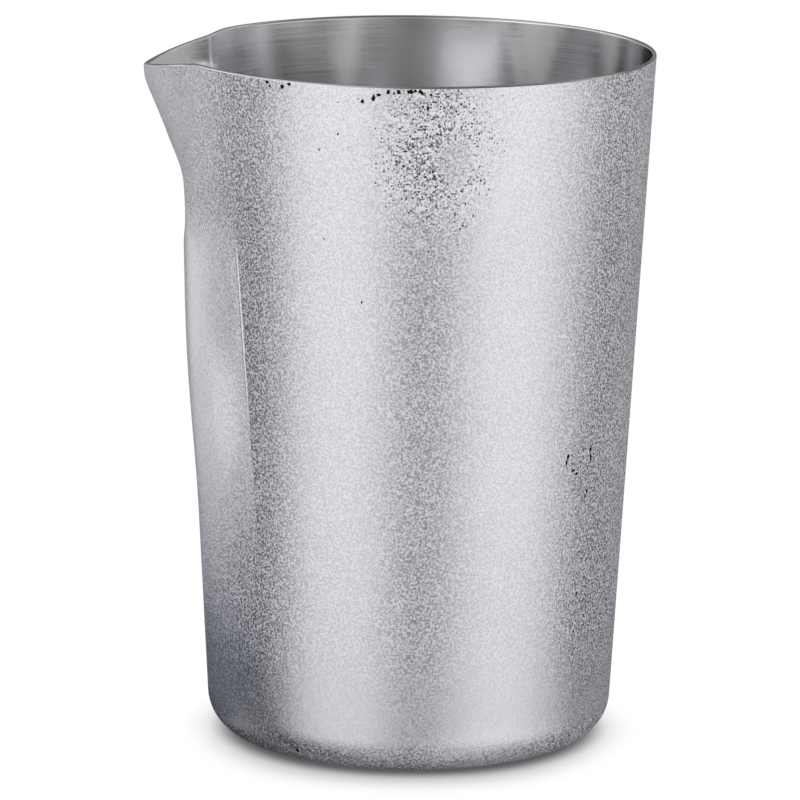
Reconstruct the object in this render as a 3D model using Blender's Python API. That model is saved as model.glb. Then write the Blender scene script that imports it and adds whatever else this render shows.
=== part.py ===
# Stainless steel mixing glass: a drawn, tapered steel shell with a beak spout pressed out of its
# mouth, and a steel weight closed into its base by a pressed cap.
# Metres, +Z up. The origin is on the shell's axis at the standing plane. The spout points to -X.

import math

import bmesh
import bpy

# Drawn shell
BODY_HEIGHT = 0.1319        # standing plane to the edge of the mouth
MOUTH_RADIUS = 0.0455       # outside of the mouth, away from the spout
FOOT_RADIUS = 0.0383        # outside of the tapered wall, carried down to the standing plane
SHEET = 0.0008              # thickness of the shell's steel
CORNER_RADIUS = 0.0077      # outside round between the wall and the base
STANDING_RING = 0.0022      # width of the flat ring that the shell stands on
FOLD_RADIUS = 0.0008        # inside radius of every tight fold in the sheet

# Beak spout, pressed out of the shell's wall
SPOUT_REACH = 0.0064        # how far the tip stands out past the mouth's circle
SPOUT_WIDTH = 0.0388        # across the spout's two roots, along the mouth
SPOUT_HEEL_DEPTH = 0.0216   # mouth down to the heel, where the ridge meets the wall
SPOUT_LIP_DEPTH = 0.0059    # upright lip at the top of the ridge
SPOUT_DIP = 0.0036          # how far the tip sinks below the mouth's edge
DIP_WIDTH = 0.0480          # stretch of the mouth's edge that sinks towards the tip
HEEL_WIDTH = 0.0060         # width that is left of the spout at its heel
NOSE_ROUND = 0.0014         # softness of the ridge between the two flanks
HEEL_ROUND = 0.0060         # softness of the bend at the heel
LIP_ROUND = 0.0004          # softness of the bend under the lip
ROOT_ROUND = 0.0005         # softness of the hollow where a flank leaves the mouth's circle

# Wall below the spout, which the pressing draws in under the heel and swells out lower down
PINCH = 0.00125             # how far the wall is drawn in
PINCH_DEPTH = 0.0278        # mouth down to the middle of the pinch
PINCH_LENGTH = 0.0214       # down the wall
PINCH_WIDTH = 0.0274        # round the wall
SWELL = 0.0007              # how far the wall stands out
SWELL_DEPTH = 0.0588        # mouth down to the middle of the swell
SWELL_LENGTH = 0.0620       # down the wall
SWELL_WIDTH = 0.0800        # round the wall

# Weight and cap in the base
BALLAST_THICKNESS = 0.0030
CAP_SHEET = 0.0008          # thickness of the cap's steel
FIT_GAP = 0.0003            # clearance between neighbouring pieces

# Steels, each as a colour and a roughness
SHELL_STEEL = ((0.66, 0.67, 0.69), 0.34)
BALLAST_STEEL = ((0.42, 0.42, 0.43), 0.55)
CAP_STEEL = ((0.60, 0.61, 0.63), 0.40)

# Facets
SPOUT_SECTOR = math.radians(90)
SPOUT_COLUMNS = 36
WALL_COLUMNS = 36
SPOUT_ROWS = 8
BELOW_SPOUT_ROWS = 8
CORNER_STEPS = 6
FOLD_STEPS = 3
BASE_COLUMNS = 48
WELD_DISTANCE = 1e-6        # turned points closer than this are one point
SHARP_ANGLE = math.radians(40)

# Places worked out from the sizes above
SPOUT_ANGLE = math.pi
TAPER = (MOUTH_RADIUS - FOOT_RADIUS) / BODY_HEIGHT
TAPER_ANGLE = math.atan(TAPER)
CORNER_CENTRE = FOOT_RADIUS + TAPER * CORNER_RADIUS - CORNER_RADIUS / math.cos(TAPER_ANGLE)
OUTER_FOLD = FOLD_RADIUS + SHEET
RECESS_RADIUS = CORNER_CENTRE - STANDING_RING - OUTER_FOLD
RECESS_HEIGHT = CAP_SHEET + FIT_GAP + BALLAST_THICKNESS + FIT_GAP
CAP_RADIUS = RECESS_RADIUS - FIT_GAP
CAP_HEIGHT = RECESS_HEIGHT - FOLD_RADIUS - FIT_GAP
CAP_FOLD = FOLD_RADIUS + CAP_SHEET
BALLAST_RADIUS = CAP_RADIUS - CAP_SHEET - FIT_GAP


def soft_ramp(value, softness):
    """Zero below zero and the value above it, with a smooth bend between."""
    return 0.5 * (value + math.sqrt(value * value + softness * softness))


def bump(share):
    """One at the middle, falling smoothly to zero at a share of one on either side."""
    if abs(share) >= 1:
        return 0.0
    return 0.5 + 0.5 * math.cos(math.pi * share)


def beak(distance, half_width, peak):
    """Rounded V across the spout: one on the ridge, zero at the roots and beyond."""
    reach = math.hypot(half_width, NOSE_ROUND) - NOSE_ROUND
    height = 1 - (math.hypot(distance, NOSE_ROUND) - NOSE_ROUND) / reach
    softness = ROOT_ROUND / peak
    return soft_ramp(height, softness) / soft_ramp(1, softness)


def ridge(depth):
    """How far the middle of the spout stands out of the tapered wall."""
    slope = SPOUT_REACH / (SPOUT_HEEL_DEPTH - SPOUT_LIP_DEPTH)
    straight = slope * soft_ramp(SPOUT_HEEL_DEPTH - depth, HEEL_ROUND)
    return SPOUT_REACH - soft_ramp(SPOUT_REACH - straight, LIP_ROUND)


def pressed_point(angle, depth):
    """Radius and height of the shell's outside at an angle from the spout and a depth of wall."""
    arc = MOUTH_RADIUS * angle
    dip = SPOUT_DIP * beak(arc, DIP_WIDTH / 2, SPOUT_REACH)
    depth += dip * max(0.0, 1 - depth / SPOUT_HEEL_DEPTH)
    out = ridge(depth)
    spread = math.sqrt(max(0.0, out) / SPOUT_REACH)
    half_width = (HEEL_WIDTH + (SPOUT_WIDTH - HEEL_WIDTH) * spread) / 2
    radius = MOUTH_RADIUS - TAPER * depth
    radius += out * beak(arc, half_width, SPOUT_REACH)
    radius -= PINCH * bump(2 * (depth - PINCH_DEPTH) / PINCH_LENGTH) * bump(2 * arc / PINCH_WIDTH)
    radius += SWELL * bump(2 * (depth - SWELL_DEPTH) / SWELL_LENGTH) * bump(2 * arc / SWELL_WIDTH)
    return radius, BODY_HEIGHT - depth


def arc_points(centre, radius, start, end, steps):
    """Points (radius, height) along an arc, with both ends."""
    points = []
    for step in range(steps + 1):
        turn = start + (end - start) * step / steps
        points.append((centre[0] + radius * math.cos(turn), centre[1] + radius * math.sin(turn)))
    return points


def turn_profile(mesh, profile, sectors, start):
    """Turn a profile of (radius, height) points about Z through sectors of (angle, columns)."""
    verts = []
    for radius, height in profile:
        verts.append(mesh.verts.new((radius * math.cos(start), radius * math.sin(start), height)))
    edges = [mesh.edges.new(pair) for pair in zip(verts, verts[1:])]
    moving = verts + edges
    for angle, columns in sectors:
        turned = bmesh.ops.spin(mesh, geom=moving, axis=(0, 0, 1), angle=angle, steps=columns)
        moving = turned["geom_last"]
    bmesh.ops.remove_doubles(mesh, verts=mesh.verts, dist=WELD_DISTANCE)


def steel(name, look):
    colour, roughness = look
    material = bpy.data.materials.new(name)
    material.use_nodes = True
    shader = material.node_tree.nodes["Principled BSDF"]
    shader.inputs["Base Color"].default_value = (*colour, 1)
    shader.inputs["Metallic"].default_value = 1
    shader.inputs["Roughness"].default_value = roughness
    return material


def add_object(name, mesh, material):
    """Finish a bmesh as a smooth-shaded object of its own."""
    data = bpy.data.meshes.new(name)
    mesh.to_mesh(data)
    mesh.free()
    data.materials.append(material)
    data.shade_smooth()
    data.set_sharp_from_angle(angle=SHARP_ANGLE)
    part = bpy.data.objects.new(name, data)
    bpy.context.scene.collection.objects.link(part)
    return part


def give_thickness(part, thickness):
    """Make a sheet of a part's outer skin, with its steel on the inner side of the skin."""
    sheet = part.modifiers.new("sheet", "SOLIDIFY")
    sheet.thickness = thickness
    sheet.offset = -1
    sheet.use_even_offset = True
    sheet.use_quality_normals = True


def shell_profile():
    """Outside of the shell, from the mouth down the wall and under the base to its middle."""
    corner_top = CORNER_RADIUS * (1 - math.sin(TAPER_ANGLE))
    wall_depth = BODY_HEIGHT - corner_top
    swell_end = min(SWELL_DEPTH + SWELL_LENGTH / 2, wall_depth - CORNER_RADIUS)
    depths = [SPOUT_HEEL_DEPTH * row / SPOUT_ROWS for row in range(SPOUT_ROWS)]
    below = swell_end - SPOUT_HEEL_DEPTH
    depths += [SPOUT_HEEL_DEPTH + below * row / BELOW_SPOUT_ROWS for row in range(BELOW_SPOUT_ROWS + 1)]
    profile = [(MOUTH_RADIUS - TAPER * depth, BODY_HEIGHT - depth) for depth in depths]
    corner_centre = (CORNER_CENTRE, CORNER_RADIUS)
    profile += arc_points(corner_centre, CORNER_RADIUS, -TAPER_ANGLE, -math.pi / 2, CORNER_STEPS)
    fold_centre = (RECESS_RADIUS + OUTER_FOLD, OUTER_FOLD)
    profile += arc_points(fold_centre, OUTER_FOLD, -math.pi / 2, -math.pi, FOLD_STEPS)
    panel_centre = (RECESS_RADIUS - FOLD_RADIUS, RECESS_HEIGHT - FOLD_RADIUS)
    profile += arc_points(panel_centre, FOLD_RADIUS, 0, math.pi / 2, FOLD_STEPS)
    profile.append((0, RECESS_HEIGHT))
    return profile


def press_spout(mesh):
    """Press the beak spout, the pinch and the swell into the turned wall."""
    wall_end = BODY_HEIGHT - SWELL_DEPTH - SWELL_LENGTH / 2
    for vert in mesh.verts:
        if vert.co.z < wall_end:
            continue
        from_spout = math.atan2(-vert.co.y, -vert.co.x)
        radius, height = pressed_point(from_spout, BODY_HEIGHT - vert.co.z)
        around = SPOUT_ANGLE + from_spout
        vert.co = (radius * math.cos(around), radius * math.sin(around), height)


def make_cup_shell():
    mesh = bmesh.new()
    sectors = [(SPOUT_SECTOR, SPOUT_COLUMNS), (2 * math.pi - SPOUT_SECTOR, WALL_COLUMNS)]
    turn_profile(mesh, shell_profile(), sectors, SPOUT_ANGLE - SPOUT_SECTOR / 2)
    press_spout(mesh)
    shell = add_object("cup_shell", mesh, steel("shell_steel", SHELL_STEEL))
    give_thickness(shell, SHEET)
    return shell


def make_base_cap():
    """Shallow pan pressed into the recess under the base, flush with the standing ring."""
    fold_centre = (CAP_RADIUS - CAP_FOLD, CAP_FOLD)
    profile = [(CAP_RADIUS, CAP_HEIGHT)]
    profile += arc_points(fold_centre, CAP_FOLD, 0, -math.pi / 2, FOLD_STEPS)
    profile.append((0, 0))
    mesh = bmesh.new()
    turn_profile(mesh, profile, [(2 * math.pi, BASE_COLUMNS)], 0)
    cap = add_object("base_cap", mesh, steel("cap_steel", CAP_STEEL))
    give_thickness(cap, CAP_SHEET)
    return cap


def make_ballast_disc():
    """Plain round weight with eased edges, held between the cap and the raised base panel."""
    bottom = CAP_SHEET + FIT_GAP
    top = bottom + BALLAST_THICKNESS
    ease = FOLD_RADIUS
    rim = BALLAST_RADIUS - ease
    profile = [(0, top)]
    profile += arc_points((rim, top - ease), ease, math.pi / 2, 0, FOLD_STEPS)
    profile += arc_points((rim, bottom + ease), ease, 0, -math.pi / 2, FOLD_STEPS)
    profile.append((0, bottom))
    mesh = bmesh.new()
    turn_profile(mesh, profile, [(2 * math.pi, BASE_COLUMNS)], 0)
    return add_object("ballast_disc", mesh, steel("ballast_steel", BALLAST_STEEL))


def main():
    for old in list(bpy.data.objects):
        bpy.data.objects.remove(old)
    make_cup_shell()
    make_ballast_disc()
    make_base_cap()


main()
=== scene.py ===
# Steel mixing glass with a misted outside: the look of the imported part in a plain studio.
# Metres, +Z up. The spout points to -X and the camera looks about along +Y.

import math

import bmesh
import bpy
from mathutils import Matrix, Vector


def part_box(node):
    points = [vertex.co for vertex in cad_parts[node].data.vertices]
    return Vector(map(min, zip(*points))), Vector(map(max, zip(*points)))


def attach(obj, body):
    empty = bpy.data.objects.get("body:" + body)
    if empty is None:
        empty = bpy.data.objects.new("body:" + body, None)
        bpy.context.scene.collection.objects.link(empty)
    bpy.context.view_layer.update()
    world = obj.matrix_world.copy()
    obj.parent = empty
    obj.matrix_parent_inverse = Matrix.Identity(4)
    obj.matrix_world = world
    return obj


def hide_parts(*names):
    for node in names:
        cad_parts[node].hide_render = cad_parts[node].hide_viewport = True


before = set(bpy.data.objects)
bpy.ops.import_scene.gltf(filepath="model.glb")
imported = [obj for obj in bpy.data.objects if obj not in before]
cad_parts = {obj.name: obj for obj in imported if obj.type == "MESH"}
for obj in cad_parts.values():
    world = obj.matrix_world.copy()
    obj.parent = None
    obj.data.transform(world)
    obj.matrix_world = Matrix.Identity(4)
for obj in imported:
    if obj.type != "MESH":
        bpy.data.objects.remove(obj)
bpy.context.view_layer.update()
scene = bpy.context.scene
scene.view_settings.view_transform = "Standard"
print("frame loaded:", ", ".join(sorted(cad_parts)))

toDegrees = 180 / math.pi
toMillimetres = 1000


class Wire:
    # one socket of a node tree: sums on it add Math nodes, node() adds any other node

    def __init__(self, tree, socket=None):
        self.tree = tree
        self.socket = socket

    def node(self, kind, settings=None, sockets=None, out=0):
        made = self.tree.nodes.new(kind)
        for name, value in (settings or {}).items():
            if name == "stops":
                setStops(made.color_ramp.elements, value)
            else:
                setattr(made, name, value)
        for name, value in (sockets or {}).items():
            if isinstance(value, Wire):
                self.tree.links.new(value.socket, made.inputs[name])
            else:
                made.inputs[name].default_value = value
        return Wire(self.tree, made.outputs[out] if made.outputs else None)

    def other(self, out):
        return Wire(self.tree, self.socket.node.outputs[out])

    def maths(self, operation, *terms):
        return self.node("ShaderNodeMath", {"operation": operation}, dict(enumerate(terms)))

    def __add__(self, term):
        return self.maths("ADD", self, term)

    def __radd__(self, term):
        return self.maths("ADD", term, self)

    def __sub__(self, term):
        return self.maths("SUBTRACT", self, term)

    def __rsub__(self, term):
        return self.maths("SUBTRACT", term, self)

    def __mul__(self, term):
        return self.maths("MULTIPLY", self, term)

    def __rmul__(self, term):
        return self.maths("MULTIPLY", term, self)

    def __truediv__(self, term):
        return self.maths("DIVIDE", self, term)

    def __rtruediv__(self, term):
        return self.maths("DIVIDE", term, self)


def setStops(elements, stops):
    while len(elements) < len(stops):
        elements.new(1)
    for element, (place, colour) in zip(elements, stops):
        element.position = place
        element.color = colour


def root(value):
    return value.maths("SQRT", value)


def hypot(first, second):
    return root(first * first + second * second)


def most(first, second):
    return first.maths("MAXIMUM", first, second)


def least(first, second):
    return first.maths("MINIMUM", first, second)


def magnitude(value):
    return value.maths("ABSOLUTE", value)


def splitUp(vector):    # its x, with y and z as the other sockets
    return vector.node("ShaderNodeSeparateXYZ", {}, {0: vector})


def bearing(x):    # radians round from -Y towards +X
    return x.maths("ARCTAN2", x, x.other("Y") * -1)


def smooth(value, low, high):    # 0 at low, 1 at high, eased between them
    limits = {"Value": value, "From Min": low, "From Max": high}
    return value.node("ShaderNodeMapRange", {"interpolation_type": "SMOOTHSTEP"}, limits)


def band(value, low, high):    # one between two eased ends
    return smooth(value, *low) * (1 - smooth(value, *high))


def ranged(value, limits):    # from the first limit at 0 to the second at 1
    low, high = limits
    return value * (high - low) + low


def mixColour(factor, first, second):
    return factor.node("ShaderNodeMix", {"data_type": "RGBA"}, {0: factor, 6: first, 7: second}, out=2)


def grey(value, tint=(1, 1, 1)):
    return tuple(value * part for part in tint) + (1,)


# camera, fitted to the mouth, the sides and the foot of the cup in the photograph
shot = {
    "lens": 267.4,
    "distance": 1.13541,
    "aim": Vector((0, 0, 0.06576)),
    "azimuth": math.radians(4.43),       # round from -Y towards +X
    "elevation": math.radians(11.9546),
    "roll": math.radians(0.6124),
    "slide": (-0.00227, -0.001424),      # right and up, in the picture's plane
}


def addCamera():
    turn, lift, roll = shot["azimuth"], shot["elevation"], shot["roll"]
    back = Vector((math.sin(turn) * math.cos(lift), -math.cos(turn) * math.cos(lift), math.sin(lift)))
    level = Vector((math.cos(turn), math.sin(turn), 0))
    upright = back.cross(level)
    right = level * math.cos(roll) + upright * math.sin(roll)
    up = upright * math.cos(roll) - level * math.sin(roll)
    slideRight, slideUp = shot["slide"]
    place = shot["aim"] + back * shot["distance"] + right * slideRight + up * slideUp
    lens = bpy.data.cameras.new("camera")
    lens.lens = shot["lens"]
    camera = bpy.data.objects.new("camera", lens)
    scene.collection.objects.link(camera)
    axes = Matrix((right, up, back)).transposed()
    camera.matrix_world = Matrix.Translation(place) @ axes.to_4x4()
    scene.camera = camera


addCamera()
print("camera placed")

# the drawn cup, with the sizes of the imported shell
cup = {
    "height": 0.1319,
    "mouthRadius": 0.0455,
    "footRadius": 0.0383,
    "sheet": 0.0008,
    "cornerRadius": 0.0077,
    "standingRing": 0.0022,
    "foldRadius": 0.0008,
    "recessHeight": 0.0044,
    "rimRound": 0.00037,
    "rimSegments": 3,
    "rimAngle": math.radians(60),    # only the mouth's two edges are sharper than this
    "spoutSector": math.radians(90),
    "spoutColumns": 128,
    "wallColumns": 168,
    "rowBreaks": ((0.0, 0.026, 44), (0.026, 0.092, 30)),   # from depth, to depth, rows
    "lowRows": 6,
    "cornerSteps": 16,
    "foldSteps": 6,
    "panelRings": 5,
}

# what the press does to the drawn cup: metres, depths down from the mouth, widths along its edge
press = {
    "mouthRadius": cup["mouthRadius"],
    "height": cup["height"],
    "reach": 0.0064,         # the beak's tip, out from the wall
    "width": 0.0388,
    "heelDepth": 0.0216,     # where the ridge runs into the wall
    "lipDepth": 0.0059,      # the ridge has its full reach above this
    "dip": 0.0036,           # of the mouth's edge at the tip
    "dipWidth": 0.0480,
    "heelWidth": 0.0060,
    "noseRound": 0.0014,
    "heelRound": 0.0060,
    "lipRound": 0.0004,
    "rootRound": 0.0005,
    "pinch": 0.00125,        # the wall is drawn in under the heel
    "pinchDepth": 0.0278,
    "pinchLength": 0.0214,
    "pinchWidth": 0.0274,
    "swell": 0.0007,         # and swells out lower down
    "swellDepth": 0.0588,
    "swellLength": 0.0620,
    "swellWidth": 0.0800,
    "deepest": 0.0900,       # the press leaves the wall alone below this
}

# mending of a turned mesh: points closer than the first merge, edges shorter than the second go
lathe = {
    "merge": 1e-6,
    "sliver": 1e-7,
}

taper = (cup["mouthRadius"] - cup["footRadius"]) / cup["height"]
taperAngle = math.atan(taper)
quarter = math.pi / 2


def arcPoints(centre, radius, start, end, steps):
    turns = [start + (end - start) * step / steps for step in range(steps + 1)]
    return [(centre[0] + radius * math.cos(turn), centre[1] + radius * math.sin(turn)) for turn in turns]


def panelPoints(edge, height, rings):    # even rings from the edge of a flat panel to its middle
    return [(edge * (rings - ring) / rings, height) for ring in range(1, rings + 1)]


def cupProfile():    # radius and height of the outside, from the mouth to the middle of the base
    corner = cup["cornerRadius"]
    fold = cup["foldRadius"]
    outerFold = fold + cup["sheet"]
    steps = cup["foldSteps"]
    cornerCentre = cup["footRadius"] + taper * corner - corner / math.cos(taperAngle)
    recess = cornerCentre - cup["standingRing"] - outerFold
    wallEnd = cup["height"] - corner * (1 - math.sin(taperAngle))
    stretches = list(cup["rowBreaks"])
    stretches.append((stretches[-1][1], wallEnd, cup["lowRows"]))
    depths = []
    for top, bottom, rows in stretches:
        depths += [top + (bottom - top) * row / rows for row in range(rows)]
    profile = [(cup["mouthRadius"] - taper * depth, cup["height"] - depth) for depth in depths]
    profile += arcPoints((cornerCentre, corner), corner, -taperAngle, -quarter, cup["cornerSteps"])
    profile += arcPoints((recess + outerFold, outerFold), outerFold, -quarter, -math.pi, steps)
    panelEdge = recess - fold
    panel = cup["recessHeight"]
    profile += arcPoints((panelEdge, panel - fold), fold, 0, quarter, steps)
    profile += panelPoints(panelEdge, panel, cup["panelRings"])
    return profile


def turned(name, profile, sectors, start):
    mesh = bmesh.new()
    points = [mesh.verts.new((r * math.cos(start), r * math.sin(start), z)) for r, z in profile]
    moving = points + [mesh.edges.new(pair) for pair in zip(points, points[1:])]
    for angle, columns in sectors:
        swept = bmesh.ops.spin(mesh, geom=moving, axis=(0, 0, 1), angle=angle, steps=columns)
        moving = swept["geom_last"]
    bmesh.ops.remove_doubles(mesh, verts=mesh.verts, dist=lathe["merge"])
    bmesh.ops.dissolve_degenerate(mesh, dist=lathe["sliver"], edges=mesh.edges)
    bmesh.ops.recalc_face_normals(mesh, faces=mesh.faces)
    data = bpy.data.meshes.new(name)
    mesh.to_mesh(data)
    mesh.free()
    data.shade_smooth()
    piece = bpy.data.objects.new(name, data)
    scene.collection.objects.link(piece)
    return piece


def bump(value, middle, length):    # one at the middle, eased to zero over half the length either way
    share = least(magnitude((value - middle) * 2 / length), 1)
    return value.maths("COSINE", share * math.pi) * 0.5 + 0.5


def softRamp(value, softness):    # zero below zero and the value above it, with a soft bend
    return (value + root(value * value + softness * softness)) * 0.5


def pressTree(finish):
    tree = bpy.data.node_groups.new("pressSpout", "GeometryNodeTree")
    tree.interface.new_socket("Geometry", in_out="INPUT", socket_type="NodeSocketGeometry")
    for name in press:
        tree.interface.new_socket(name, in_out="INPUT", socket_type="NodeSocketFloat")
    tree.interface.new_socket("Geometry", in_out="OUTPUT", socket_type="NodeSocketGeometry")
    given = Wire(tree).node("NodeGroupInput")
    size = {name: given.other(name) for name in press}
    x = splitUp(given.node("GeometryNodeInputPosition"))
    y = x.other("Y")
    radius = hypot(x, y)
    arc = x.maths("ARCTAN2", y * -1, x * -1) * size["mouthRadius"]
    depth = size["height"] - x.other("Z")

    def beak(halfWidth):    # rounded V, one on the ridge and zero at the roots
        span = hypot(halfWidth, size["noseRound"]) - size["noseRound"]
        rise = 1 - (hypot(arc, size["noseRound"]) - size["noseRound"]) / span
        softness = size["rootRound"] / size["reach"]
        return softRamp(rise, softness) / softRamp(1, softness)

    sunk = size["dip"] * beak(size["dipWidth"] / 2)
    pressed = depth + sunk * most(1 - depth / size["heelDepth"], 0)
    slope = size["reach"] / (size["heelDepth"] - size["lipDepth"])
    straight = slope * softRamp(size["heelDepth"] - pressed, size["heelRound"])
    out = size["reach"] - softRamp(size["reach"] - straight, size["lipRound"])
    spread = root(most(out, 0) / size["reach"])
    halfWidth = (size["heelWidth"] + (size["width"] - size["heelWidth"]) * spread) / 2
    pinch = size["pinch"] * bump(pressed, size["pinchDepth"], size["pinchLength"])
    swell = size["swell"] * bump(pressed, size["swellDepth"], size["swellLength"])
    grown = size["mouthRadius"] - taper * pressed + out * beak(halfWidth)
    grown = grown - pinch * bump(arc, 0, size["pinchWidth"]) + swell * bump(arc, 0, size["swellWidth"])
    moved = x.node("ShaderNodeCombineXYZ", {}, {
        "X": x * grown / radius, "Y": y * grown / radius, "Z": size["height"] - pressed})
    onWall = x.maths("LESS_THAN", depth, size["deepest"])
    shaped = x.node("GeometryNodeSetPosition", {}, {
        "Geometry": given, "Selection": onWall, "Position": moved})
    real = x.node("GeometryNodeRealizeInstances", {}, {"Geometry": shaped})
    dressed = x.node("GeometryNodeSetMaterial", {}, {"Geometry": real, "Material": finish})
    x.node("NodeGroupOutput", {}, {0: dressed})
    return tree


def runTree(piece, tree, values):
    step = piece.modifiers.new(tree.name, "NODES")
    step.node_group = tree
    for item in tree.interface.items_tree:
        if item.in_out == "INPUT" and item.name in values:
            step[item.identifier] = values[item.name]


def giveSheet(piece, thickness):    # the sheet grows inwards from the outside
    sheet = piece.modifiers.new("sheet", "SOLIDIFY")
    sheet.thickness = thickness
    sheet.offset = -1
    sheet.use_even_offset = True
    return sheet


def makePlain(piece):    # swap the modifiers for the mesh that they make
    graph = bpy.context.evaluated_depsgraph_get()
    plain = bpy.data.meshes.new_from_object(piece.evaluated_get(graph), preserve_all_data_layers=True,
                                            depsgraph=graph)
    piece.modifiers.clear()
    piece.data = plain


def startMaterial(name):
    material = bpy.data.materials.new(name)
    material.use_nodes = True
    material.node_tree.nodes.clear()
    return material, Wire(material.node_tree)


def endMaterial(wire, sockets):
    shader = wire.node("ShaderNodeBsdfPrincipled", {}, sockets)
    wire.node("ShaderNodeOutputMaterial", {}, {"Surface": shader})


def objectPlace(wire):
    return wire.node("ShaderNodeTexCoord").other("Object")


def noise(coords, scale, detail, rough):
    sizes = {"Vector": coords, "Scale": scale, "Detail": detail, "Roughness": rough}
    return coords.node("ShaderNodeTexNoise", {}, sizes)


def stretched(coords, factors):
    return coords.node("ShaderNodeVectorMath", {"operation": "MULTIPLY"}, {0: coords, 1: factors})


def relief(height, depth):
    return height.node("ShaderNodeBump", {}, {"Strength": 1.0, "Distance": depth, "Height": height})


# a noise has its scale, detail and roughness
mist = {
    "steel": (0.66, 0.67, 0.695),
    "frost": (0.88, 0.89, 0.92),
    "plainFrost": 0.5,            # mist on a plain place, before the grain and the patches change it
    "frostShare": 0.42,           # how far full mist hides the metal
    "grain": (2600, 0, 0.5),      # a fine even grit, about 0.7 mm from light to light
    "grainRange": (0.22, 0.78),
    "grainDepth": 0.000024,
    "cloud": (60, 3, 0.55),
    "ragged": (220, 3, 0.6),      # edges of the patches, and how far it moves them
    "raggedReach": 1.2,
    "wipedGrain": 0.6,            # share of the grain that a wiped place keeps
    "calmBand": ((4, 8), (10, 30)),    # millimetres up where the grain fades, and how much of it
    "calm": 0.55,
    # what is added on the right side (degrees), towards the mouth (millimetres) and among the beads
    "grainMore": ((((36, 62), (100, 150)), 0.25), ((105, 130), 0.12), 0.5),
    "frostMore": ((((48, 75), (100, 150)), 0.16), ((95, 128), 0.12), 0.4),
    # of the bare steel, what clouds and mist add to it, and what wiping and beads take off
    "roughness": {"steel": 0.30, "cloud": 0.08, "frost": 0.1, "wiped": 0.05, "bead": 0.12},
    "waterGloss": 0.25,
    "edgeTint": (0.6, 0.6, 0.62, 1),
}

# places on the wall: degrees round from -Y towards +X, and millimetres up
# an oval has its middle, its half sizes and how ragged its edge is
wiped = {
    "strip": {
        "left": (-80, -70),
        "edge": -44.3,            # where the right edge is at its height, and how it leans
        "edgeHeight": 99.1,
        "lean": 0.072,
        "edgeSoft": (-0.4, 0.4),
        "low": (30, 66),
        "high": (94, 107),
        "film": 0.2,              # water left on the strip, and how much the ovals change it
        "filmChange": 0.45,
        "pale": (((-70, 88), (7, 14), 0.3), ((-52, 67), (6, 12), 0.3)),
        "dull": ((-52, 88), (6, 14), 0.3),
    },
    "line": {                     # painted highlight along the strip's right edge, with a painted shade line inside it
        "low": (60, 76),
        "high": (96, 103),
        "glintHalf": (0.08, 0.32),
        "glint": 0.8,
        "glintTone": 0.95,
        "glintMetal": 0.7,        # metal that it hides
        # the painted shade line: how far inside the highlight it lies, its width and its darkness
        "edgeShadeGap": 0.55,
        "edgeShadeHalf": (0.1, 0.4),
        "edgeShade": 0.3,
    },
    "streak": {"turn": 20.6, "height": 100, "lean": 0.49, "half": (0.6, 4.2),
               "low": (88, 98), "high": (113, 123), "share": 0.8},
    "spot": ((13.9, 118.0), (4.0, 4.5), 0.8),    # thin place among the beads
    "spotClear": 0.5,
    "flank": ((-80, 122), (17, 11), 0.2),        # the spout's side
    "foot": ((-64, 6), (30, 20), 0.3),           # less mist, by this share
    "footClear": 0.8,
    # painted shade low on the left of the base corner, standing in for the dark floor it mirrors, and how
    # much of the beads' black it takes
    "paintedFootShade": ((-68, 3.5), (24, 5), 0.2),
    "paintedFootShadeShare": 0.22,
    # more or less mist round the base corner
    "footFrost": ((((30, 4.5), (20, 5), 0.2), 0.24), (((-28, 3.5), (12, 4), 0.2), -0.2)),
}

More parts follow.
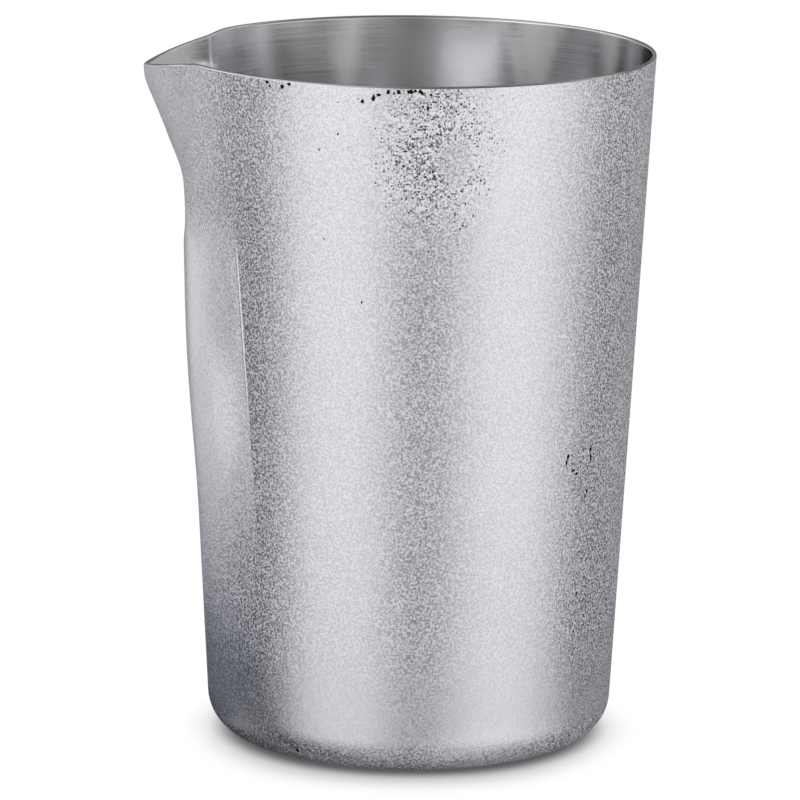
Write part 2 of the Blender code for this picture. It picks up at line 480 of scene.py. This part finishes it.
beads = {
    # near black: the drops of water are real, their darkness is painted reflection of the dark they mirror
    "colour": (0.012, 0.012, 0.015, 1),
    "scale": 2150,                # cells that hold one bead of water each, to the metre
    "fadeIn": 0.03,               # spread of the chance over which a bead comes in
    "radius": (0.222, 0.74),      # smallest and largest, in cells
    "crowdSize": (0.5, 1.0),      # share of that size when alone and when packed
    "uneven": 0.5,                # what the grain does to a bead's outline
    "edge": (-0.07, 0.05),
    "darkness": (0.42, 0.92),
    "height": 3,                  # over the grain's
    "packed": 0.9,                # share of the cells with a bead in the crowd, and away from it
    "single": 0.015,
    "singleRise": (60, 110),      # millimetres up where the single beads start and are all there
    "cluster": ((9.4, 119.2), (10.5, 11.5), 1.0),
    "clusterSoft": 0.75,
    "spotThin": 0.7,
    "crowds": ((((53, 57.5), (5.0, 4.5), 0.5), 0.45),    # beads round the right drops and along the mouth
               (((9, 129.6), (15, 1.6), 0.5), 0.15)),
    "lumps": (2100, 0, 0.5),      # unevenness of the drops' outlines
    "lumpReach": 1.2,
    "dropEdge": (0.7, 1.1),
    "shine": 0.6,
    "shineWidth": 0.8,
    "shineEdge": (0.3, 1.1),
    # single drops: place, half sizes and how far to the right its white glint lies, in half widths
    "drops": (((-7.9, 129.0), (0.40, 0.35), -1.5), ((-5.3, 129.7), (0.42, 0.65), 2.0),
              ((-4.0, 130.3), (0.60, 0.28), 0), ((-1.8, 130.9), (0.45, 0.55), 2.0),
              ((-0.6, 130.7), (0.30, 0.30), 0), ((0.5, 131.0), (0.60, 0.40), 2.0),
              ((1.7, 131.1), (0.30, 0.40), 0), ((3.3, 131.0), (0.80, 0.50), 0),
              ((4.4, 131.2), (0.35, 0.25), 0), ((5.5, 131.0), (0.75, 0.45), 0),
              ((7.9, 130.5), (0.35, 0.35), 0), ((7.3, 128.0), (0.35, 0.45), 0),
              ((-32.2, 131.1), (0.55, 0.40), 2.0), ((-31.6, 130.5), (0.35, 0.25), 0),
              ((-28.1, 130.6), (0.60, 0.40), 2.0), ((-26.1, 131.2), (0.50, 0.28), 0),
              ((-13.8, 122.7), (0.22, 0.18), 0), ((-18.6, 119.5), (0.20, 0.14), 0),
              ((-13.8, 128.6), (0.24, 0.14), 0), ((-17.6, 102.9), (0.22, 0.16), 0),
              ((-8.2, 91.4), (0.20, 0.28), 0), ((-29.6, 3.3), (0.9, 0.35), 0),
              ((58.1, 60.5), (0.45, 0.7), -2.2), ((58.4, 58.9), (0.45, 0.7), -2.2),
              ((49.0, 60.1), (0.45, 0.55), -2.0), ((48.5, 58.9), (0.4, 0.5), -2.0),
              ((51.2, 57.2), (0.5, 0.3), -2.0), ((52.7, 56.4), (0.7, 0.3), 0),
              ((57.6, 52.5), (0.4, 0.7), -2.0), ((56.9, 51.5), (0.4, 0.45), 2.0),
              ((55.9, 40.9), (0.4, 0.35), -2.0), ((55.7, 32.7), (0.5, 0.45), -1.8),
              ((55.4, 25.3), (0.35, 0.4), 1.8)),
}


def away(wall, middle, half):    # zero in the middle of an oval on the wall, one on its edge
    return hypot((wall["turn"] - middle[0]) / half[0], (wall["rise"] - middle[1]) / half[1])


def patch(wall, oval, soft=0.45):    # one inside an oval with a ragged edge
    middle, half, rough = oval
    return 1 - smooth(away(wall, middle, half) + wall["ragged"] * rough, 1 - soft, 1 + soft)


def addPatches(value, wall, shares):
    for oval, share in shares:
        value = value + patch(wall, oval) * share
    return value


def addMore(value, wall, more, crowd):    # more on the right side, towards the mouth and in the crowd
    (right, rightShare), (top, topShare), crowdShare = more
    value = value + band(wall["turn"], *right) * rightShare + smooth(wall["rise"], *top) * topShare
    return value + crowd * crowdShare


def wipedStrip(wall):    # the strip, the water on it, and the painted highlight and painted shade line along its edge
    turn, rise = wall["turn"], wall["rise"]
    strip, line = wiped["strip"], wiped["line"]
    beside = turn - ((strip["edgeHeight"] - rise) * strip["lean"] + strip["edge"])
    across = smooth(turn, *strip["left"]) * (1 - smooth(beside, *strip["edgeSoft"]))
    wipe = across * band(rise, strip["low"], strip["high"])
    change = patch(wall, strip["dull"]) * -1
    for oval in strip["pale"]:
        change = change + patch(wall, oval)
    film = wipe * (change * strip["filmChange"] + 1) * strip["film"]
    along = band(rise, line["low"], line["high"])
    # painted highlight, then the painted shade line inside it
    glint = (1 - smooth(magnitude(beside), *line["glintHalf"])) * along
    edgeShade = (1 - smooth(magnitude(beside + line["edgeShadeGap"]), *line["edgeShadeHalf"])) * along
    return wipe, film, glint, edgeShade


def wipedStreak(wall):
    streak = wiped["streak"]
    beside = wall["turn"] - streak["turn"] - (wall["rise"] - streak["height"]) * streak["lean"]
    upright = band(wall["rise"], streak["low"], streak["high"])
    return (1 - smooth(magnitude(beside), *streak["half"])) * upright * streak["share"]


def darkBeads(coords, grit, chance):    # chance is the share of the cells that hold a bead
    cells = coords.node("ShaderNodeTexVoronoi", {}, {"Vector": coords, "Scale": beads["scale"]})
    dice = cells.node("ShaderNodeSeparateColor", {}, {0: cells.other("Color")})
    there = smooth(chance - dice, 0, beads["fadeIn"])
    size = ranged(dice.other("Green"), beads["radius"]) * ranged(chance, beads["crowdSize"])
    bead = 1 - smooth(cells - size + (grit - 0.5) * beads["uneven"], *beads["edge"])
    return bead * there * ranged(dice.other("Blue"), beads["darkness"])


def placeDrops(coords, wall, dark):    # the beads with the single drops added, and the drops' glints
    lumps = (noise(coords, *beads["lumps"]) - 0.5) * beads["lumpReach"]
    shine = 0
    for middle, half, side in beads["drops"]:
        dark = most(dark, 1 - smooth(away(wall, middle, half) - lumps, *beads["dropEdge"]))
        if side:
            beamMiddle = (middle[0] + side * half[0], middle[1])
            beamHalf = (half[0] * beads["shineWidth"], half[1])
            shine = (1 - smooth(away(wall, beamMiddle, beamHalf), *beads["shineEdge"])) + shine
    return dark, shine


def mistedSteel():
    material, wire = startMaterial("mistedSteel")
    coords = objectPlace(wire)
    x = splitUp(coords)
    rise = x.other("Z") * toMillimetres
    ragged = (noise(coords, *mist["ragged"]) - 0.5) * mist["raggedReach"]
    wall = {"turn": bearing(x) * toDegrees, "rise": rise, "ragged": ragged}

    wipe, film, glint, edgeShade = wipedStrip(wall)
    spot = patch(wall, wiped["spot"])
    flank = patch(wall, wiped["flank"])
    clear = most(most(wipe, wipedStreak(wall)), most(flank, spot * wiped["spotClear"]))
    misty = (1 - clear * (1 - mist["wipedGrain"])) * (1 - band(rise, *mist["calmBand"]) * mist["calm"])

    grit = noise(coords, *mist["grain"])
    grain = smooth(grit, *mist["grainRange"]) - 0.5
    cluster = patch(wall, beads["cluster"], beads["clusterSoft"])
    foot = patch(wall, wiped["foot"]) * wiped["footClear"]
    coarse = addMore(1, wall, mist["grainMore"], cluster)
    frosted = grain * misty * coarse + (1 - foot) * mist["plainFrost"] + film
    frosted = addMore(frosted, wall, mist["frostMore"], cluster * (1 - spot))
    frosted = addPatches(frosted, wall, wiped["footFrost"])

    crowd = addPatches(cluster * (1 - spot * beads["spotThin"]), wall, beads["crowds"])
    chance = crowd * beads["packed"] + smooth(rise, *beads["singleRise"]) * beads["single"]
    dark, shine = placeDrops(coords, wall, darkBeads(coords, grit, chance) * (1 - clear))

    line = wiped["line"]
    colour = mixColour(frosted, grey(1, mist["steel"]), grey(1, mist["frost"]))
    # darker: the beads and drops with their painted dark, painted shade on the left of the base corner, and
    # the painted shade line inside the strip's edge
    shade = most(most(dark, patch(wall, wiped["paintedFootShade"]) * wiped["paintedFootShadeShare"]), edgeShade * line["edgeShade"])
    colour = mixColour(shade, colour, beads["colour"])
    # painted highlights: the glint along the strip's edge and the drops' glints
    colour = mixColour(most(glint * line["glint"], shine * beads["shine"]), colour, grey(line["glintTone"]))
    rough = mist["roughness"]
    cloud = noise(coords, *mist["cloud"]) - 0.5
    roughness = rough["steel"] + cloud * rough["cloud"] + frosted * rough["frost"]
    endMaterial(wire, {
        "Base Color": colour,
        "Metallic": (1 - frosted * mist["frostShare"] - film) * (1 - glint * line["glintMetal"]),
        "Specular IOR Level": mist["waterGloss"],
        "Specular Tint": mist["edgeTint"],
        "Roughness": roughness - clear * rough["wiped"] - dark * rough["bead"],
        "Normal": relief(grit * misty + dark * beads["height"], mist["grainDepth"]),
    })
    return material


inside = {
    "steel": (0.86, 0.865, 0.875),
    "lineScale": 4000,            # up the wall, and along the lines
    "alongScale": 25,
    "lines": (1, 3, 0.6),
    "lineRange": (0.25, 0.75),
    "lineTone": 0.93,
    "lineDepth": 0.000002,
    "roughness": 0.13,
    "lineRoughness": 0.08,
    "tip": (-0.0415, -0.0475),    # the mist creeps into the spout's tip between these x
    "tipMist": 0.6,
    "tipRoughness": 0.2,
}


def brushedInside():
    material, wire = startMaterial("brushedInside")
    coords = objectPlace(wire)
    drawn = stretched(coords, (inside["alongScale"], inside["alongScale"], inside["lineScale"]))
    lines = noise(drawn, *inside["lines"])
    tone = smooth(lines, *inside["lineRange"])
    tip = smooth(splitUp(coords), *inside["tip"])
    roughness = inside["roughness"] + (tone - 0.5) * inside["lineRoughness"]
    endMaterial(wire, {
        "Base Color": mixColour(tone, grey(inside["lineTone"], inside["steel"]), grey(1, inside["steel"])),
        "Metallic": 1 - tip * inside["tipMist"],
        "Roughness": roughness + tip * inside["tipRoughness"],
        "Normal": relief(lines, inside["lineDepth"]),
    })
    return material


mouthEdge = {
    "worn": (0.88, 0.885, 0.90, 1),
    "bright": (0.97, 0.97, 0.975, 1),
    "wear": (900, 2, 0.5),
    "roughness": (0.12, 0.28),
}


def polishedRim():
    material, wire = startMaterial("polishedRim")
    wear = noise(objectPlace(wire), *mouthEdge["wear"])
    endMaterial(wire, {
        "Base Color": mixColour(wear, mouthEdge["worn"], mouthEdge["bright"]),
        "Metallic": 1.0,
        "Roughness": ranged(wear, mouthEdge["roughness"]),
    })
    return material


def makeCup():
    sectors = ((cup["spoutSector"], cup["spoutColumns"]),
               (2 * math.pi - cup["spoutSector"], cup["wallColumns"]))
    piece = turned("cupShell", cupProfile(), sectors, math.pi - cup["spoutSector"] / 2)
    misted = mistedSteel()
    finishes = (misted, brushedInside(), polishedRim())
    for finish in finishes:
        piece.data.materials.append(finish)
    runTree(piece, pressTree(misted), press)
    sheet = giveSheet(piece, cup["sheet"])
    sheet.use_quality_normals = True
    sheet.material_offset = 1        # the brushed inside
    sheet.material_offset_rim = 2    # the polished rim
    rim = piece.modifiers.new("rim", "BEVEL")
    rim.width = cup["rimRound"]
    rim.segments = cup["rimSegments"]
    rim.limit_method = "ANGLE"
    rim.angle_limit = cup["rimAngle"]
    rim.material = 2                 # the same
    makePlain(piece)
    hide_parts("cup_shell")
    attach(piece, "root")
    return piece


cupPiece = makeCup()
print("cup pressed:", len(cupPiece.data.polygons), "faces")

# the pan pressed into the base and the weight behind it
cap = {
    "sheet": 0.0008,
    "fold": 0.0016,
    "foldSteps": 8,
    "rings": 6,
    "columns": 160,
    "steel": (0.60, 0.61, 0.63),
    "ringScale": 2500,
    "roughness": 0.36,
}
weight = {
    "steel": (0.42, 0.42, 0.43),
    "ringScale": 1600,
    "roughness": 0.5,
}

# rings round the axis, as a lathe or a press leaves them, and blotches over them
spun = {
    "rings": (1, 3, 0.6),
    "upScale": 200,
    "blotch": (130, 3, 0.5),
    "ringShare": 0.6,
    "tones": (0.82, 1.1),
    "roughnessChange": 0.2,
    "ringDepth": 0.000005,
}


def spunSteel(name, look):
    material, wire = startMaterial(name)
    coords = objectPlace(wire)
    x = splitUp(coords)
    outward = {"X": hypot(x, x.other("Y")) * look["ringScale"], "Y": x.other("Z") * spun["upScale"]}
    rings = noise(wire.node("ShaderNodeCombineXYZ", {}, outward), *spun["rings"])
    tone = rings * spun["ringShare"] + noise(coords, *spun["blotch"]) * (1 - spun["ringShare"])
    darker, lighter = [grey(share, look["steel"]) for share in spun["tones"]]
    endMaterial(wire, {
        "Base Color": mixColour(tone, darker, lighter),
        "Metallic": 1.0,
        "Roughness": look["roughness"] + (tone - 0.5) * spun["roughnessChange"],
        "Normal": relief(rings, spun["ringDepth"]),
    })
    return material


def makeCap():
    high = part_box("base_cap")[1]
    radius = high[0]
    fold = cap["fold"]
    flat = radius - fold
    profile = [(radius, high[2])]
    profile += arcPoints((flat, fold), fold, 0, -quarter, cap["foldSteps"])
    profile += panelPoints(flat, 0, cap["rings"])
    piece = turned("baseCap", profile, ((2 * math.pi, cap["columns"]),), 0)
    piece.data.materials.append(spunSteel("spunCap", cap))
    giveSheet(piece, cap["sheet"])
    makePlain(piece)
    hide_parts("base_cap")
    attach(piece, "root")


def dressWeight():
    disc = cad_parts["ballast_disc"]
    disc.data.materials.clear()
    disc.data.materials.append(spunSteel("turnedBallast", weight))


makeCap()
dressWeight()
print("base closed")

# plain pale floor, which shows the camera a white ground and the cup's own contact shade
floor = {
    "side": 3.0,
    "pale": (0.82, 0.82, 0.83),
    "shadeReach": 0.015,
    "shadeSamples": 16,
    "shadeColour": (0.1, 0.1, 0.106),
    "shadeRange": (0.03, 0.74),
    "shadeFront": ((-80, -20), (20, 80)),    # degrees where the shade reaches further out
    "frontReach": 0.24,
    "mirrorRange": (0.0, 0.18),    # the same shade as the foot mirrors it, and where it is wider or narrower
    "mirrorSides": (((-150, -110), (-56, -14), -0.5), ((-5, 20), (48, 70), 0.07)),
    "dusk": (0.018, 0.024, 0.08),  # what the foot of the wall mirrors beside the cup
    "duskFull": 0.07,              # full as near as this, and gone at each side's own reach
    "duskSides": (((-178, -150), (-82, -58), 0.72, 0.27), ((66, 90), (134, 158), 0.6, 0.24),
                  ((-110, -60), (0, 40), 0.19, 0.24), ((-200, -190), (190, 200), 0.12, 0.24)),
}


def rayKinds(wire):    # rays that see the background, and rays that metal mirrors
    path = wire.node("ShaderNodeLightPath")
    return most(path.other("Is Camera Ray"), path.other("Is Transmission Ray")), path.other("Is Glossy Ray")


def glow(wire, colour):
    return wire.node("ShaderNodeEmission", {}, {"Color": colour})


def mixShader(factor, first, second):
    return factor.node("ShaderNodeMixShader", {}, {0: factor, 1: first, 2: second})


def groundSeen(openSky, turn):    # white with the contact shade
    start, end = floor["shadeRange"]
    light = smooth(openSky, start, band(turn, *floor["shadeFront"]) * floor["frontReach"] + end)
    return glow(openSky, mixColour(light, grey(1, floor["shadeColour"]), grey(1)))


def groundMirrored(openSky, turn, outward):    # the studio, dusk beside the cup and the contact shade
    sides = 0
    for start, end, strength, reach in floor["duskSides"]:
        side = band(turn, start, end) * smooth(outward, reach, floor["duskFull"]) * strength
        sides = most(side, sides)
    clear = openSky.node("ShaderNodeBsdfTransparent")
    dim = mixShader(sides, clear, glow(openSky, grey(1, floor["dusk"])))
    shaded = openSky
    for start, end, lift in floor["mirrorSides"]:
        shaded = shaded + band(turn, start, end) * lift
    contact = glow(openSky, grey(1, floor["shadeColour"]))
    return mixShader(smooth(shaded, *floor["mirrorRange"]), contact, dim)


def makeFloor():
    bpy.ops.mesh.primitive_plane_add(size=floor["side"])
    piece = bpy.context.object
    piece.name = "floor"
    material, wire = startMaterial("paleFloor")
    seen, glossy = rayKinds(wire)
    reach = {"Distance": floor["shadeReach"]}
    openSky = wire.node("ShaderNodeAmbientOcclusion", {"samples": floor["shadeSamples"]}, reach, out="AO")
    x = splitUp(objectPlace(wire))
    turn = bearing(x) * toDegrees
    matt = wire.node("ShaderNodeBsdfDiffuse", {}, {"Color": grey(1, floor["pale"])})
    plain = mixShader(seen, matt, groundSeen(openSky, turn))
    both = mixShader(glossy, plain, groundMirrored(openSky, turn, hypot(x, x.other("Y"))))
    wire.node("ShaderNodeOutputMaterial", {}, {"Surface": both})
    piece.data.materials.append(material)


# studio: white to the camera, soft panels to the metal, an even fill to everything else
# panels: degrees round from the camera, and the tone there
studio = {
    "fill": 0.72,
    "lowPanels": ((-180, 0.1), (-168, 0.3), (-150, 0.5), (-118, 0.46), (-101, 0.1), (-80, 0.06),
                  (-69, 0.55), (-56, 0.97), (-22, 1.04), (-10, 0.6), (-3, 0.29), (10, 0.28), (24, 0.71),
                  (38, 1.03), (66, 1.03), (90, 0.53), (110, 0.14), (135, 0.18), (154, 0.27), (168, 0.2),
                  (180, 0.1)),
    "highPanels": ((-180, 0.25), (-165, 0.08), (-138, 0.08), (-126, 0.7), (-117, 1.5), (-60, 1.5),
                   (-42, 1.2), (-30, 0.55), (5, 0.4), (40, 0.4), (60, 0.2), (86, 0.18), (96, 0.65),
                   (102, 0.6), (112, 0.15), (130, 0.1), (158, 0.1), (168, 0.2), (180, 0.25)),
    "topPanels": ((-180, 0.1), (-150, 0.15), (-110, 0.6), (-40, 0.4), (-10, 0.12), (60, 0.08),
                  (82, 0.12), (98, 0.38), (114, 0.6), (128, 0.15), (180, 0.1)),
    "highBlend": (3, 9),         # degrees up where the low panels give way to the high ones
    "topBlend": (0.2, 0.27),     # the same for the top ones, as the sine of the angle
    "deep": (-58, -24),          # the ground falls into shade between these angles
    "deepTone": 0.4,
}


def panelRamp(turn, panels):
    stops = [((angle + 180) / 360, grey(tone)) for angle, tone in panels]
    return turn.node("ShaderNodeValToRGB", {"stops": stops}, {"Fac": turn})


def sines(angles):
    return [math.sin(math.radians(angle)) for angle in angles]


def makeWorld():
    world = bpy.data.worlds.new("studio")
    world.use_nodes = True
    world.node_tree.nodes.clear()
    scene.world = world
    wire = Wire(world.node_tree)
    x = splitUp(wire.node("ShaderNodeTexCoord").other("Generated"))
    up = x.other("Z")
    turn = x.maths("FRACT", (bearing(x) - shot["azimuth"]) / (2 * math.pi) + 0.5)    # 0.5 at the camera
    low, high, top = [panelRamp(turn, studio[name]) for name in ("lowPanels", "highPanels", "topPanels")]
    panels = mixColour(smooth(up, *sines(studio["highBlend"])), low, high)
    deep = 1 - smooth(up, *sines(studio["deep"]))
    panels = mixColour(deep * (1 - studio["deepTone"]), panels, grey(0))
    panels = mixColour(smooth(up, *studio["topBlend"]), panels, top)
    seen, glossy = rayKinds(wire)
    lit = mixColour(glossy, grey(studio["fill"]), panels)
    sky = wire.node("ShaderNodeBackground", {}, {"Color": mixColour(seen, lit, grey(1))})
    wire.node("ShaderNodeOutputWorld", {}, {"Surface": sky})


# lamps: place, side of the square and watts
lamps = {
    "keyLamp": ((-0.7, -0.9, 0.9), 0.8, 5.0),
    "fillLamp": ((0.9, -0.6, 0.6), 0.8, 2.5),
    "topLamp": ((0.0, 0.25, 1.1), 0.9, 3.0),
}


def makeLamps():
    for name, (place, side, watts) in lamps.items():
        light = bpy.data.lights.new(name, "AREA")
        light.size = side
        light.energy = watts
        lamp = bpy.data.objects.new(name, light)
        scene.collection.objects.link(lamp)
        lamp.location = place
        lamp.rotation_euler = (shot["aim"] - Vector(place)).to_track_quat("-Z", "Y").to_euler()
        lamp.visible_glossy = False    # the panels of the studio are what the metal mirrors


makeFloor()
makeWorld()
makeLamps()
print("studio lit")
